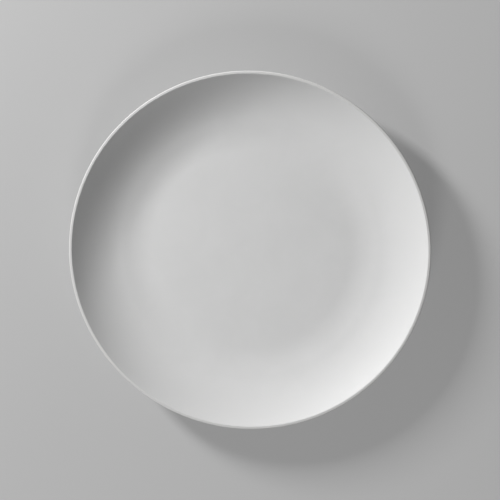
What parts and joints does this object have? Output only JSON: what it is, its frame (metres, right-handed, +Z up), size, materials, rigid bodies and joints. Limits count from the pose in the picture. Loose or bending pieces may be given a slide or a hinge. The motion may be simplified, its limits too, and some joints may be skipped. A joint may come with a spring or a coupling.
{
  "type": "coupe dinner plate",
  "caption": "Round rimless dinner plate in white glazed clay, with a flat well, a wall that curves up to a narrow level lip, and a bare foot ring.",
  "frame": {"origin": "centre of the foot ring's standing face, on the plate's axis", "axes": "+Z up along the plate's axis, out of the eating face; +X and +Y lie in the standing face, and the plate is alike all round"},
  "size_m": [0.27, 0.27, 0.027],
  "materials": {
    "bare_clay": "matt",
    "white_glaze": "satin",
    "foot_well_glaze": "satin"
  },
  "bodies": {
    "root": {"clay_body": "bare_clay", "glaze_coat": "white_glaze", "foot_well_glaze": "foot_well_glaze"}
  },
  "joints": []
}
